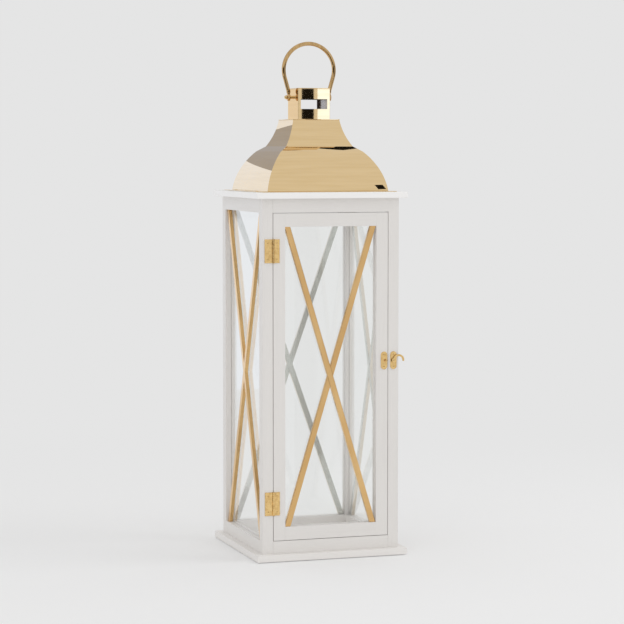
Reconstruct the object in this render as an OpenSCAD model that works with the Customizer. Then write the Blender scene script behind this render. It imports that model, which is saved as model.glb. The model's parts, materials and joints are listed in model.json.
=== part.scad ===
// Tall candle lantern. A white timber case on a base board, glazed on four
// sides, with brass strips crossing over each pane. The front pane is a door
// on two butt hinges with a swing-hook latch. On the top board sits a mitred
// ogee roof of polished sheet, a slotted chimney and a swinging bail handle.
// Millimetres, +Z up. The origin is on the ground under the middle of the
// case, and the door faces -Y.

/* [Case] */
// Outer width and depth of the post frame
case_w = 196; // [156:1:240]
// Height of the posts, from base board to top board
case_h = 484; // [400:1:600]
// Section of the square posts, and thickness of the rails and the door
post_s = 15; // [13:0.5:18]
// Height of the four bottom rails
bottom_rail_h = 17.3; // [14:0.1:24]
// Height of the four top rails
top_rail_h = 19; // [15:0.1:26]

/* [Base and top boards] */
// How far the base board and the top board stand out beyond the case
board_lip = 10; // [6:0.5:16]
// Thickness of the base board
base_t = 9.3; // [8:0.1:16]
// Thickness of the top board
top_t = 8.4; // [8:0.1:16]
// Diameter of the round hot-air hole in the top board
vent_d = 100; // [60:1:110]
// Diameter of each felt foot pad
pad_d = 14; // [12:1:20]
// Thickness of each felt foot pad
pad_t = 1; // [0.8:0.1:3]

/* [Glass and cross strips] */
// Thickness of the glass panes
glass_t = 2; // [1.6:0.1:3]
// How far each pane reaches into its groove
glass_bite = 3.5; // [2:0.1:4]
// Depth of the front of the glass behind the face of the frame
glass_depth = 8; // [7.8:0.1:9]
// Width of the cross strips
strip_w = 7.8; // [5:0.1:12]
// Thickness of the cross strips
strip_t = 5; // [3:0.1:5]
// Depth of the face of the strips behind the face of the frame
strip_depth = 2.6; // [1:0.1:2.7]

/* [Door] */
// Gap all round between the door and its opening
door_gap = 0.7; // [0.5:0.1:1.2]
// Width of the door stiles
stile_w = 16.8; // [16:0.1:22]
// Height of the door rails
door_rail_h = 18.4; // [15:0.1:26]

/* [Hinges] */
// Length of each hinge
hinge_l = 32; // [26:1:44]
// Distance from each end of the door to its hinge
hinge_inset = 35; // [20:1:60]
// Width of the hinge leaf on the post, from the pin
post_leaf_w = 12; // [10.5:0.5:13]
// Width of the hinge leaf on the door, from the pin
door_leaf_w = 9; // [8.5:0.5:12]
// Thickness of the hinge leaves
leaf_t = 0.9; // [0.8:0.1:1.2]
// Radius of the hinge knuckles
knuckle_r = 1.6; // [1.5:0.1:2]
// Radius of the hinge pins
hinge_pin_r = 0.8; // [0.6:0.1:0.9]

/* [Latch] */
// Height of the latch above the middle of the door
latch_rise = 19.3; // [-60:0.1:60]
// Width of the latch plates
latch_plate_w = 9.3; // [8.5:0.1:10.5]
// Length of the latch plates
latch_plate_l = 24.5; // [22:0.5:32]
// Thickness of the latch plates
latch_plate_t = 0.8; // [0.6:0.1:1.2]
// Distance from the edge of the door to the latch plate
latch_edge = 0.85; // [0.5:0.05:2]
// Distance of the stud from the middle of the door plate
stud_shift = 2.6; // [1.6:0.1:2.8]
// Width of the hook's arm
hook_w = 2.8; // [2.2:0.1:3.2]
// Thickness of the hook
hook_t = 1; // [0.8:0.1:1.4]

/* [Roof] */
// Width of the roof flange
flange_w = 191.6; // [184:0.1:200]
// Thickness of the sheet of the flange and the roof
sheet_t = 1; // [0.8:0.1:1.5]
// Width of the roof bell at its foot
bell_foot_w = 173.5; // [160:0.1:176]
// Height of the round lower part of the bell
bell_lower_h = 54; // [40:1:70]
// Radius of the round lower part of the bell
bell_lower_r = 93; // [70:1:130]
// Width of the bell at the lower edge of its shoulder
shoulder_low_w = 118.2; // [108:0.1:128]
// Height of the flat shoulder
shoulder_h = 7; // [4:0.1:12]
// Width of the bell at the upper edge of its shoulder
shoulder_top_w = 96.6; // [86:0.1:104]
// Height of the hollow upper part of the bell
bell_upper_h = 36.5; // [28:0.1:48]
// Radius of the hollow upper part of the bell
bell_upper_r = 94; // [60:1:140]
// Width of the bell at its top
bell_top_w = 67.4; // [60:0.1:76]

/* [Chimney] */
// Width and depth of the square chimney
chimney_w = 46.5; // [40:0.1:54]
// Height of the chimney, with its lid
chimney_h = 43.2; // [36:0.1:60]
// Width of the smoke slots in its front and back
slot_w = 38.5; // [24:0.1:38.6]
// Height of the smoke slots
slot_h = 13.6; // [8:0.1:16]
// Height of the foot of the smoke slots above the roof
slot_z = 14.2; // [6:0.1:14.4]

/* [Handle] */
// Diameter of the handle rod
rod_d = 5.7; // [5:0.1:8]
// Radius of the handle's bow, to the middle of the rod
bow_r = 36.7; // [34:0.1:44]
// Height of the bow's centre above the handle pins
bow_rise = 37.9; // [36:0.1:48]
// Angle the bow runs on past level before it turns in
bow_tuck = 16; // [14:1:22]
// Radius of the bend above each handle eye
bow_bend_r = 12; // [10:1:16]
// Distance of each eye from the middle
eye_x = 29.9; // [29.6:0.1:30.6]
// Thickness of the flattened eyes
eye_t = 3.5; // [2:0.1:4]
// Radius of the flattened eyes
eye_r = 5; // [4:0.1:6]
// Depth of the handle pins below the top of the chimney
pin_drop = 12.6; // [6:0.1:12.8]
// Radius of the handle pins
handle_pin_r = 1.5; // [1.2:0.1:2]

/* [Hidden] */
$fn = 64;

// Directions of the sides, as turns of the front about the vertical
FRONT = 0;
RIGHT = 90;
BACK = 180;
LEFT = 270;
GLAZED = [RIGHT, BACK, LEFT];

// Clearances
running_fit = 0.05;    // hinge, handle and hook pins in their holes
screw_fit = 0.02;      // screw shanks in their pilot holes
head_fit = 0.1;        // board screw heads in their countersinks
leaf_hole_fit = 0.1;   // screw shanks in metal plates
groove_fit = 0.2;      // glass in its groove, on each face
groove_floor = 0.5;    // glass edge to the bottom of the groove
knuckle_gap = 0.15;    // end play between knuckles
knuckle_relief = 0.3;  // leaf cut back round the other leaf's knuckles
eye_play = 0.1;        // handle eye to the collar and head of its pin
hook_play = 0.05;      // hook to the collar and head of its pivot
hook_catch = 0.25;     // hook tip to the neck of the stud
stud_play = 0.2;       // room for the hook between plate collar and stud head
step = 0.01;           // overlap that makes a cut run through a face
over = 1;              // length by which a long cut runs past what it cuts
tip_room = 1;          // hole beyond the tip of a board screw

// Levels
base_z = pad_t;
case_z = base_z + base_t;
case_top = case_z + case_h;
board_top = case_top + top_t;
flange_top = board_top + sheet_t;
shoulder_low_z = flange_top + bell_lower_h;
shoulder_top_z = shoulder_low_z + shoulder_h;
bell_top = shoulder_top_z + bell_upper_h;
roof_top = bell_top + sheet_t;
chimney_top = roof_top + chimney_h;
pin_z = chimney_top - pin_drop;

// Case, opening and door
face = case_w / 2;
board_w = case_w + 2 * board_lip;
post_at = face - post_s / 2;
open_w = case_w - 2 * post_s;
open_z0 = case_z + bottom_rail_h;
open_z1 = case_top - top_rail_h;
door_w = open_w - 2 * door_gap;
door_z0 = open_z0 + door_gap;
door_z1 = open_z1 - door_gap;
light_w = door_w - 2 * stile_w;
light_z0 = door_z0 + door_rail_h;
light_z1 = door_z1 - door_rail_h;

// Hinges
hinge_x = -(open_w - door_gap) / 2;
hinge_y = -face - knuckle_r;
hinge_z_upper = door_z1 - hinge_inset - hinge_l;
hinge_z_lower = door_z0 + hinge_inset;
knuckles = 5;
knuckle_l = hinge_l / knuckles;
hinge_pin_head_r = 1.3;
hinge_pin_head_h = 0.6;
hinge_screw_end = 5;    // screws from each end of a leaf
post_screw_in = 7.8;    // screws on the post, from the pin
door_screw_in = 5.2;    // screws on the door, from the pin
post_screw_x = hinge_x - post_screw_in;
door_screw_x = hinge_x + door_screw_in;

// Shape of every cross slot and screw tip, as shares of the head and the shank
slot_long = 1.1;
slot_wide = 0.28;
slot_deep = 0.5;
tip_share = 0.2;

// Small screws of the hinges and the latch
small_screw_r = 0.8;
small_screw_l = 7;
small_head_r = 1.5;
small_head_h = 0.6;

// Screws of the boards
board_screw_r = 1.75;
board_screw_l = 24;
board_head_r = 3.5;
board_head_h = 2.4;
board_head_sunk = 0.3;

// Screws of the roof flange
roof_screw_r = 1.2;
roof_screw_l = 6.5;
roof_head_r = 2.2;
roof_head_h = 0.6;
roof_screw_x = (flange_w + bell_foot_w) / 4;
roof_screw_y = 50;

// Latch
latch_z = (door_z0 + door_z1) / 2 + latch_rise;
latch_screw_out = 0.9;  // screws past the middle of each round end of a plate
latch_screw_z = (latch_plate_l - latch_plate_w) / 2 + latch_screw_out;
pivot_x = post_at;
door_plate_x = door_w / 2 - latch_edge - latch_plate_w / 2;
stud_x = door_plate_x + stud_shift;
stud_r = 1.1;
stud_head_r = 1.7;
stud_head_h = 1.1;
hook_eye_r = 3;
pivot_r = 1;
pivot_collar_r = 2;
pivot_collar_h = 1;
pivot_head_r = 2;
pivot_head_h = 1;
plate_face = face + latch_plate_t;
hook_back = plate_face + pivot_collar_h + hook_play;
hook_reach = pivot_x - stud_x + stud_r + hook_catch + hook_w / 2;
hook_arch_r = hook_reach / 2;

// Handle pins
pin_collar_r = 2.1;
pin_head_r = 2.7;
pin_rivet_h = 1;
pin_low_h = 0.8;
ball_lift = 1.5;
neck_share = 0.8;       // flattened rod above the eye, as a share of the rod
neck_w = rod_d * neck_share;
rod_step = 0.01;
rod_lap = 0.5;
wall_in = chimney_w / 2 - sheet_t;
eye_in = eye_x - eye_t / 2;
eye_out = eye_x + eye_t / 2;

// Horizontal width of a strip that runs from corner to corner of an opening
function lean(w, h) = atan((w - strip_w) / h);
function strip_run(w, h) = strip_w / cos(lean(w, h));

// Centre of a circle of radius r through points a and b, on the left of a to b
function chord_centre(a, b, r) =
    let (m = (a + b) / 2, d = b - a, half = norm(d) / 2, out = sqrt(r * r - half * half))
    m + out * [-d[1], d[0]] / norm(d);
function arc_points(c, r, from, to, steps = 14) =
    [for (i = [0 : steps]) let (t = from + (to - from) * i / steps) c + r * [cos(t), sin(t)]];
function angle_of(p) = atan2(p[1], p[0]);

// Half outline of the bell, from foot to top, inset by the sheet where asked
foot_pt = [bell_foot_w / 2, flange_top];
low_pt = [shoulder_low_w / 2, shoulder_low_z];
high_pt = [shoulder_top_w / 2, shoulder_top_z];
top_pt = [bell_top_w / 2, bell_top];
lower_c = chord_centre(foot_pt, low_pt, bell_lower_r);
upper_c = chord_centre(top_pt, high_pt, bell_upper_r);
function bell_side(inset) = concat(
    arc_points(lower_c, bell_lower_r - inset, angle_of(foot_pt - lower_c), angle_of(low_pt - lower_c)),
    arc_points(upper_c, bell_upper_r + inset, angle_of(high_pt - upper_c) + 360,
               angle_of(top_pt - upper_c) + 360)
);
function flip(points) = [for (i = [len(points) - 1 : -1 : 0]) [-points[i][0], points[i][1]]];

// Turns what is drawn on the front to another side
module on_side(side) {
    rotate([0, 0, side]) children();
}

// Box centred on x = 0, standing at height z0, from depth y0 to y1 behind the face
module slab(w, y0, y1, z0, z1) {
    translate([-w / 2, -face + y0, z0]) cube([w, y1 - y0, z1 - z0]);
}

// Rod along the depth, starting dy in front of the face and running inwards
module bore_in(x, z, r, dy, depth) {
    translate([x, -face - dy, z]) rotate([-90, 0, 0]) cylinder(h = depth, r = r);
}

// Low dome of radius r and height h, flat side down
module dome(r, h) {
    ball = (r * r + h * h) / (2 * h);
    intersection() {
        translate([0, 0, h - ball]) sphere(r = ball);
        cylinder(h = h, r = r);
    }
}

// Round-headed wood screw, head up from z = 0 and shank down, with a cross slot
module wood_screw(r, l, head_r, head_h) {
    slot = [head_r * slot_long, head_r * slot_wide, head_h * slot_deep];
    difference() {
        dome(head_r, head_h);
        for (turn = [0, 90])
            rotate([0, 0, turn]) translate([-slot[0] / 2, -slot[1] / 2, head_h - slot[2]])
                cube([slot[0], slot[1], head_h]);
    }
    translate([0, 0, -l + r]) cylinder(h = l - r, r = r);
    translate([0, 0, -l]) cylinder(h = r, r1 = r * tip_share, r2 = r);
}

// Countersunk wood screw, flat of the head at z = 0 and shank up
module board_screw() {
    slot = [board_head_r * slot_long, board_head_r * slot_wide, board_head_h * slot_deep];
    difference() {
        cylinder(h = board_head_h, r1 = board_head_r, r2 = board_screw_r);
        for (turn = [0, 90])
            rotate([0, 0, turn]) translate([-slot[0] / 2, -slot[1] / 2, -step])
                cube(slot);
    }
    tip_z = board_screw_l - board_screw_r;
    translate([0, 0, board_head_h]) cylinder(h = tip_z - board_head_h, r = board_screw_r);
    translate([0, 0, tip_z])
        cylinder(h = board_screw_r, r1 = board_screw_r, r2 = board_screw_r * tip_share);
}

// Hole for a countersunk screw through a board of thickness t, its mouth at z = 0
module board_screw_hole(t) {
    mouth_r = board_head_r + head_fit;
    translate([0, 0, -step]) cylinder(h = board_head_sunk + 2 * step, r = mouth_r);
    translate([0, 0, board_head_sunk])
        cylinder(h = board_head_h, r1 = mouth_r, r2 = board_screw_r + head_fit);
    translate([0, 0, board_head_sunk]) cylinder(h = t + over, r = board_screw_r + screw_fit);
}

// Places something on each of the four corner posts
module at_posts() {
    for (sx = [-1, 1], sy = [-1, 1]) translate([sx * post_at, sy * post_at, 0]) children();
}

// Groove that holds a pane of the given opening, on the front side
module glass_groove(w, z0, z1) {
    reach = glass_bite + groove_floor;
    slab(w + 2 * reach, glass_depth - groove_fit, glass_depth + glass_t + groove_fit,
         z0 - reach, z1 + reach);
}

// Pane of the given opening, on the front side
module pane(w, z0, z1) {
    slab(w + 2 * glass_bite, glass_depth, glass_depth + glass_t, z0 - glass_bite, z1 + glass_bite);
}

// Upright outline of one leaning strip; hand is 1 for top left to bottom right
module strip_outline(w, z0, z1, hand) {
    run = strip_run(w, z1 - z0);
    corners = [[-w / 2, z1], [-w / 2 + run, z1], [w / 2, z0], [w / 2 - run, z0]];
    polygon([for (p = corners) [hand * p[0], p[1]]]);
}

// Leaning strip between two depths
module strip_slab(w, z0, z1, hand, y0, y1) {
    translate([0, -face + y1, 0]) rotate([90, 0, 0])
        linear_extrude(height = y1 - y0) strip_outline(w, z0, z1, hand);
}

// One strip, half its thickness cut away where it laps the other strip
module lapped_strip(w, z0, z1, outer) {
    y0 = strip_depth;
    y1 = strip_depth + strip_t;
    mid = (y0 + y1) / 2;
    hand = outer ? 1 : -1;
    difference() {
        strip_slab(w, z0, z1, hand, y0, y1);
        if (outer)
            strip_slab(w, z0, z1, -hand, mid, y1 + step);
        else
            strip_slab(w, z0, z1, -hand, y0 - step, mid);
    }
}

module base_board() {
    color("whitesmoke") difference() {
        translate([-board_w / 2, -board_w / 2, base_z]) cube([board_w, board_w, base_t]);
        at_posts() translate([0, 0, base_z]) board_screw_hole(base_t);
    }
}

module foot_pads() {
    color("dimgray") at_posts() cylinder(h = pad_t, d = pad_d);
}

module base_screws() {
    color("silver") at_posts() translate([0, 0, base_z + board_head_sunk]) board_screw();
}

module top_screws() {
    color("silver") at_posts() translate([0, 0, board_top - board_head_sunk])
        mirror([0, 0, 1]) board_screw();
}

// Corner post, with the grooves and screw holes that fall in it
module post(sx, sy) {
    pilot_r = board_screw_r + screw_fit;
    in_base = board_head_sunk + board_screw_l - base_t;
    in_top = board_head_sunk + board_screw_l - top_t;
    color("whitesmoke") difference() {
        translate([sx * post_at - post_s / 2, sy * post_at - post_s / 2, case_z])
            cube([post_s, post_s, case_h]);
        for (side = GLAZED) on_side(side) glass_groove(open_w, open_z0, open_z1);
        translate([sx * post_at, sy * post_at, 0]) {
            translate([0, 0, case_z - step]) cylinder(h = in_base + tip_room, r = pilot_r);
            translate([0, 0, case_top - in_top - tip_room])
                cylinder(h = in_top + tip_room + step, r = pilot_r);
        }
        if (sy < 0 && sx < 0) hinge_screw_holes(post_screw_x);
        if (sy < 0 && sx > 0) latch_screw_holes(pivot_x);
    }
}

module post_front_left() post(-1, -1);
module post_front_right() post(1, -1);
module post_back_left() post(-1, 1);
module post_back_right() post(1, 1);

// Rail between two posts, grooved for its pane on the glazed sides
module case_rail(side, z0, h) {
    color("whitesmoke") on_side(side) difference() {
        slab(open_w, 0, post_s, z0, z0 + h);
        if (side != FRONT) glass_groove(open_w, open_z0, open_z1);
    }
}

module bottom_rail_front() case_rail(FRONT, case_z, bottom_rail_h);
module bottom_rail_right() case_rail(RIGHT, case_z, bottom_rail_h);
module bottom_rail_back() case_rail(BACK, case_z, bottom_rail_h);
module bottom_rail_left() case_rail(LEFT, case_z, bottom_rail_h);
module top_rail_front() case_rail(FRONT, open_z1, top_rail_h);
module top_rail_right() case_rail(RIGHT, open_z1, top_rail_h);
module top_rail_back() case_rail(BACK, open_z1, top_rail_h);
module top_rail_left() case_rail(LEFT, open_z1, top_rail_h);

module at_roof_screws() {
    for (sx = [-1, 1], sy = [-1, 1]) translate([sx * roof_screw_x, sy * roof_screw_y, 0]) children();
}

module top_board() {
    color("whitesmoke") difference() {
        translate([-board_w / 2, -board_w / 2, case_top]) cube([board_w, board_w, top_t]);
        translate([0, 0, case_top - step]) cylinder(h = top_t + 2 * step, d = vent_d);
        at_posts() translate([0, 0, board_top]) mirror([0, 0, 1]) board_screw_hole(top_t);
        at_roof_screws() translate([0, 0, flange_top - roof_screw_l - step])
            cylinder(h = roof_screw_l + over, r = roof_screw_r + screw_fit);
    }
}

module side_glass(side) {
    color("lightcyan", 0.3) on_side(side) pane(open_w, open_z0, open_z1);
}

module glass_right() side_glass(RIGHT);
module glass_back() side_glass(BACK);
module glass_left() side_glass(LEFT);

module side_strip(side, outer) {
    color("goldenrod") on_side(side) lapped_strip(open_w, open_z0, open_z1, outer);
}

module strip_right_outer() side_strip(RIGHT, true);
module strip_right_inner() side_strip(RIGHT, false);
module strip_back_outer() side_strip(BACK, true);
module strip_back_inner() side_strip(BACK, false);
module strip_left_outer() side_strip(LEFT, true);
module strip_left_inner() side_strip(LEFT, false);

// Square sheet centred on the axis
module sheet(w, z, t) {
    translate([-w / 2, -w / 2, z]) cube([w, w, t]);
}

module roof_flange() {
    color("goldenrod") difference() {
        sheet(flange_w, board_top, sheet_t);
        sheet(bell_foot_w - 2 * sheet_t, board_top - step, sheet_t + 2 * step);
        at_roof_screws() translate([0, 0, board_top - step])
            cylinder(h = sheet_t + 2 * step, r = roof_screw_r + leaf_hole_fit);
    }
}

module roof_screws() {
    color("goldenrod") at_roof_screws() translate([0, 0, flange_top])
        wood_screw(roof_screw_r, roof_screw_l, roof_head_r, roof_head_h);
}

// Upright outline drawn out along the depth, well past the bell both ways
module bell_sweep(outline) {
    translate([0, bell_foot_w, 0]) rotate([90, 0, 0])
        linear_extrude(height = 2 * bell_foot_w) polygon(outline);
}

// Four-sided bell: one outline swept both ways, which makes the mitred corners
module bell_solid(inset, below, above) {
    side = bell_side(inset);
    first = side[0];
    last = side[len(side) - 1];
    half = concat([[first[0], first[1] - below]], side, [[last[0], last[1] + above]]);
    outline = concat(half, flip(half));
    intersection() {
        bell_sweep(outline);
        rotate([0, 0, 90]) bell_sweep(outline);
    }
}

module roof_bell() {
    color("goldenrod") difference() {
        bell_solid(0, 0, 0);
        bell_solid(sheet_t, over, over);
    }
}

module roof_cap_plate() {
    plate_lip = 0.4;
    color("goldenrod") difference() {
        sheet(bell_top_w + 2 * plate_lip, bell_top, sheet_t);
        sheet(chimney_w - 2 * sheet_t, bell_top - step, sheet_t + 2 * step);
    }
}

module chimney_tube() {
    inner = chimney_w - 2 * sheet_t;
    tube_h = chimney_h - sheet_t;
    color("goldenrod") difference() {
        sheet(chimney_w, roof_top, tube_h);
        sheet(inner, roof_top - step, tube_h + 2 * step);
        translate([-slot_w / 2, -chimney_w, roof_top + slot_z]) cube([slot_w, 2 * chimney_w, slot_h]);
        translate([-chimney_w, 0, pin_z]) rotate([0, 90, 0])
            cylinder(h = 2 * chimney_w, r = handle_pin_r + screw_fit);
    }
}

module chimney_lid() {
    color("goldenrod") sheet(chimney_w, chimney_top - sheet_t, sheet_t);
}

// Shouldered pin along +X: rivet inside the chimney, collar, shank, and a ball or a low head
module handle_pin(with_ball) {
    seat = eye_out + eye_play;
    rotate([0, 90, 0]) {
        translate([0, 0, wall_in - pin_rivet_h]) cylinder(h = pin_rivet_h, r = pin_collar_r);
        translate([0, 0, wall_in - step]) cylinder(h = seat - wall_in + 2 * step, r = handle_pin_r);
        translate([0, 0, chimney_w / 2]) cylinder(h = eye_in - eye_play - chimney_w / 2, r = pin_collar_r);
        if (with_ball) intersection() {
            translate([0, 0, seat + ball_lift]) sphere(r = pin_head_r);
            translate([0, 0, seat]) cylinder(h = ball_lift + pin_head_r, r = pin_head_r + over);
        }
        else translate([0, 0, seat]) dome(pin_collar_r, pin_low_h);
    }
}

// The left pin ends in a ball, the right one is riveted over
module handle_pins() {
    color("goldenrod") translate([0, 0, pin_z]) {
        handle_pin(false);
        rotate([0, 0, 180]) handle_pin(true);
    }
}

// Bent rod in the upright plane: part of a ring about [x, z], from angle a over sweep
module rod_bend(x, z, r, a, sweep) {
    translate([x, 0, z]) rotate([90, 0, 0]) rotate([0, 0, a])
        rotate_extrude(angle = sweep) translate([r, 0]) circle(d = rod_d);
}

// Right leg of the bail, from the end of the bow down to the flattened eye.
// Its straight pieces are a hair thinner than the bends and run on into them.
module bail_leg() {
    tuck_x = bow_r * cos(bow_tuck);
    tuck_z = bow_rise - bow_r * sin(bow_tuck);
    bend_x = eye_x + bow_bend_r * (1 - cos(bow_tuck));
    straight = (tuck_x - bend_x) / sin(bow_tuck);
    bend_z = tuck_z - straight * cos(bow_tuck);
    leg_z = bend_z - bow_bend_r * sin(bow_tuck);
    r = rod_d / 2 - rod_step;
    neck_z = leg_z - rod_lap - r;
    translate([bend_x, 0, bend_z]) rotate([0, bow_tuck, 0]) translate([0, 0, -rod_lap])
        cylinder(h = straight + 2 * rod_lap, r = r);
    rod_bend(eye_x + bow_bend_r, leg_z, bow_bend_r, 180 - bow_tuck, bow_tuck);
    lap_z = leg_z + rod_lap;
    neck = [[0, neck_z], [eye_t / 2, neck_z], [r, leg_z - rod_lap], [r, lap_z], [0, lap_z]];
    translate([eye_x, 0, 0]) rotate_extrude() polygon(neck);
    translate([eye_x - eye_t / 2, -neck_w / 2, 0]) cube([eye_t, neck_w, leg_z]);
    translate([eye_x - eye_t / 2, 0, 0]) rotate([0, 90, 0]) cylinder(h = eye_t, r = eye_r);
}

module handle_bail() {
    color("darkgoldenrod") translate([0, 0, pin_z]) difference() {
        union() {
            rod_bend(0, bow_rise, bow_r, -bow_tuck, 180 + 2 * bow_tuck);
            bail_leg();
            mirror([1, 0, 0]) bail_leg();
        }
        translate([-2 * eye_x, 0, 0]) rotate([0, 90, 0])
            cylinder(h = 4 * eye_x, r = handle_pin_r + running_fit);
    }
}

module door_stile(hand) {
    color("whitesmoke") difference() {
        translate([hand * (door_w - stile_w) / 2, 0, 0]) slab(stile_w, 0, post_s, door_z0, door_z1);
        glass_groove(light_w, light_z0, light_z1);
        if (hand < 0) hinge_screw_holes(door_screw_x);
        if (hand > 0) latch_screw_holes(door_plate_x);
    }
}

module door_stile_hinge() door_stile(-1);
module door_stile_latch() door_stile(1);

module door_rail(z0) {
    color("whitesmoke") difference() {
        slab(light_w, 0, post_s, z0, z0 + door_rail_h);
        glass_groove(light_w, light_z0, light_z1);
    }
}

module door_rail_bottom() door_rail(door_z0);
module door_rail_top() door_rail(light_z1);

module door_glass() {
    color("lightcyan", 0.3) pane(light_w, light_z0, light_z1);
}

module door_strip_outer() {
    color("goldenrod") lapped_strip(light_w, light_z0, light_z1, true);
}

module door_strip_inner() {
    color("goldenrod") lapped_strip(light_w, light_z0, light_z1, false);
}

// Knuckle i of a hinge, at the given radius and end play
module knuckle(i, r, play) {
    translate([0, 0, i * knuckle_l + play]) cylinder(h = knuckle_l - 2 * play, r = r);
}

// Hinge leaf about its pin: hand is -1 on the post and 1 on the door
module hinge_leaf(z0, w, hand, own, other, screw_x) {
    own_play = hand < 0 ? 0 : knuckle_gap;
    color("goldenrod") difference() {
        translate([hinge_x, hinge_y, z0]) difference() {
            union() {
                difference() {
                    translate([hand < 0 ? -w : 0, knuckle_r - leaf_t, 0]) cube([w, leaf_t, hinge_l]);
                    for (i = other) knuckle(i, knuckle_r + knuckle_relief, -own_play);
                }
                for (i = own) knuckle(i, knuckle_r, own_play);
            }
            translate([0, 0, -step]) cylinder(h = hinge_l + 2 * step, r = hinge_pin_r + running_fit);
        }
        for (dz = [hinge_screw_end, hinge_l - hinge_screw_end])
            bore_in(screw_x, z0 + dz, small_screw_r + leaf_hole_fit, leaf_t + step, leaf_t + 2 * step);
    }
}

module post_leaf(z0) hinge_leaf(z0, post_leaf_w, -1, [0, 2, 4], [1, 3], post_screw_x);
module door_leaf(z0) hinge_leaf(z0, door_leaf_w, 1, [1, 3], [0, 2, 4], door_screw_x);

module hinge_upper_post_leaf() post_leaf(hinge_z_upper);
module hinge_upper_door_leaf() door_leaf(hinge_z_upper);
module hinge_lower_post_leaf() post_leaf(hinge_z_lower);
module hinge_lower_door_leaf() door_leaf(hinge_z_lower);

module hinge_pin(z0) {
    color("goldenrod") translate([hinge_x, hinge_y, z0]) {
        cylinder(h = hinge_l, r = hinge_pin_r);
        for (end = [0, 1]) translate([0, 0, end * hinge_l]) mirror([0, 0, 1 - end])
            dome(hinge_pin_head_r, hinge_pin_head_h);
    }
}

module hinge_upper_pin() hinge_pin(hinge_z_upper);
module hinge_lower_pin() hinge_pin(hinge_z_lower);

// Pilot holes of both hinges in a post or a stile
module hinge_screw_holes(x) {
    for (z0 = [hinge_z_lower, hinge_z_upper], dz = [hinge_screw_end, hinge_l - hinge_screw_end])
        bore_in(x, z0 + dz, small_screw_r + screw_fit, step, small_screw_l);
}

// Small screw driven in from the front, its head seated on a plate of thickness t
module front_screw(x, z, t) {
    translate([x, -face - t, z]) rotate([90, 0, 0])
        wood_screw(small_screw_r, small_screw_l, small_head_r, small_head_h);
}

module hinge_screws(x) {
    color("goldenrod")
        for (z0 = [hinge_z_lower, hinge_z_upper], dz = [hinge_screw_end, hinge_l - hinge_screw_end])
            front_screw(x, z0 + dz, leaf_t);
}

module hinge_post_screws() hinge_screws(post_screw_x);
module hinge_door_screws() hinge_screws(door_screw_x);

// Pilot holes of one latch plate
module latch_screw_holes(x) {
    for (dz = [-latch_screw_z, latch_screw_z])
        bore_in(x, latch_z + dz, small_screw_r + screw_fit, step, small_screw_l);
}

// Round-ended plate on the front face, drilled for its screws
module latch_plate(x) {
    straight = latch_plate_l - latch_plate_w;
    color("goldenrod") difference() {
        union() {
            translate([x - latch_plate_w / 2, -plate_face, latch_z - straight / 2])
                cube([latch_plate_w, latch_plate_t, straight]);
            for (end = [-1, 1])
                bore_in(x, latch_z + end * straight / 2, latch_plate_w / 2, latch_plate_t, latch_plate_t);
        }
        for (dz = [-latch_screw_z, latch_screw_z])
            bore_in(x, latch_z + dz, small_screw_r + leaf_hole_fit, latch_plate_t + step,
                    latch_plate_t + 2 * step);
    }
}

module latch_screws(x) {
    color("goldenrod") for (dz = [-latch_screw_z, latch_screw_z])
        front_screw(x, latch_z + dz, latch_plate_t);
}

module latch_post_plate() latch_plate(pivot_x);
module latch_door_plate() latch_plate(door_plate_x);
module latch_post_screws() latch_screws(pivot_x);
module latch_door_screws() latch_screws(door_plate_x);

// Pivot of the hook: collar on the plate, neck through the hook, domed head
module latch_pivot() {
    neck = hook_t + 2 * hook_play;
    color("goldenrod") translate([pivot_x, -plate_face, latch_z]) rotate([90, 0, 0]) {
        cylinder(h = pivot_collar_h, r = pivot_collar_r);
        translate([0, 0, pivot_collar_h]) cylinder(h = neck, r = pivot_r);
        translate([0, 0, pivot_collar_h + neck]) dome(pivot_head_r, pivot_head_h);
    }
}

// Hook, swung open away from the door: eye, arched arm and round tip
module latch_hook() {
    color("goldenrod") translate([pivot_x, -hook_back, latch_z]) rotate([90, 0, 0]) difference() {
        union() {
            cylinder(h = hook_t, r = hook_eye_r);
            translate([hook_arch_r, 0, 0]) rotate_extrude(angle = 180)
                translate([hook_arch_r - hook_w / 2, 0]) square([hook_w, hook_t]);
            translate([hook_reach, 0, 0]) cylinder(h = hook_t, r = hook_w / 2);
        }
        translate([0, 0, -step]) cylinder(h = hook_t + 2 * step, r = pivot_r + running_fit);
    }
}

// Button stud that the closed hook lies behind
module latch_stud() {
    neck = pivot_collar_h + hook_t + stud_play;
    color("goldenrod") translate([stud_x, -plate_face, latch_z]) rotate([90, 0, 0]) {
        cylinder(h = neck, r = stud_r);
        translate([0, 0, neck]) dome(stud_head_r, stud_head_h);
    }
}

base_board();
foot_pads();
base_screws();
post_front_left();
post_front_right();
post_back_left();
post_back_right();
bottom_rail_front();
bottom_rail_right();
bottom_rail_back();
bottom_rail_left();
top_rail_front();
top_rail_right();
top_rail_back();
top_rail_left();
top_board();
top_screws();
glass_right();
glass_back();
glass_left();
strip_right_outer();
strip_right_inner();
strip_back_outer();
strip_back_inner();
strip_left_outer();
strip_left_inner();
roof_flange();
roof_screws();
roof_bell();
roof_cap_plate();
chimney_tube();
chimney_lid();
handle_pins();
handle_bail();
door_stile_hinge();
door_stile_latch();
door_rail_bottom();
door_rail_top();
door_glass();
door_strip_outer();
door_strip_inner();
hinge_upper_post_leaf();
hinge_upper_door_leaf();
hinge_upper_pin();
hinge_lower_post_leaf();
hinge_lower_door_leaf();
hinge_lower_pin();
hinge_post_screws();
hinge_door_screws();
latch_post_plate();
latch_post_screws();
latch_pivot();
latch_hook();
latch_door_plate();
latch_door_screws();
latch_stud();
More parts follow.
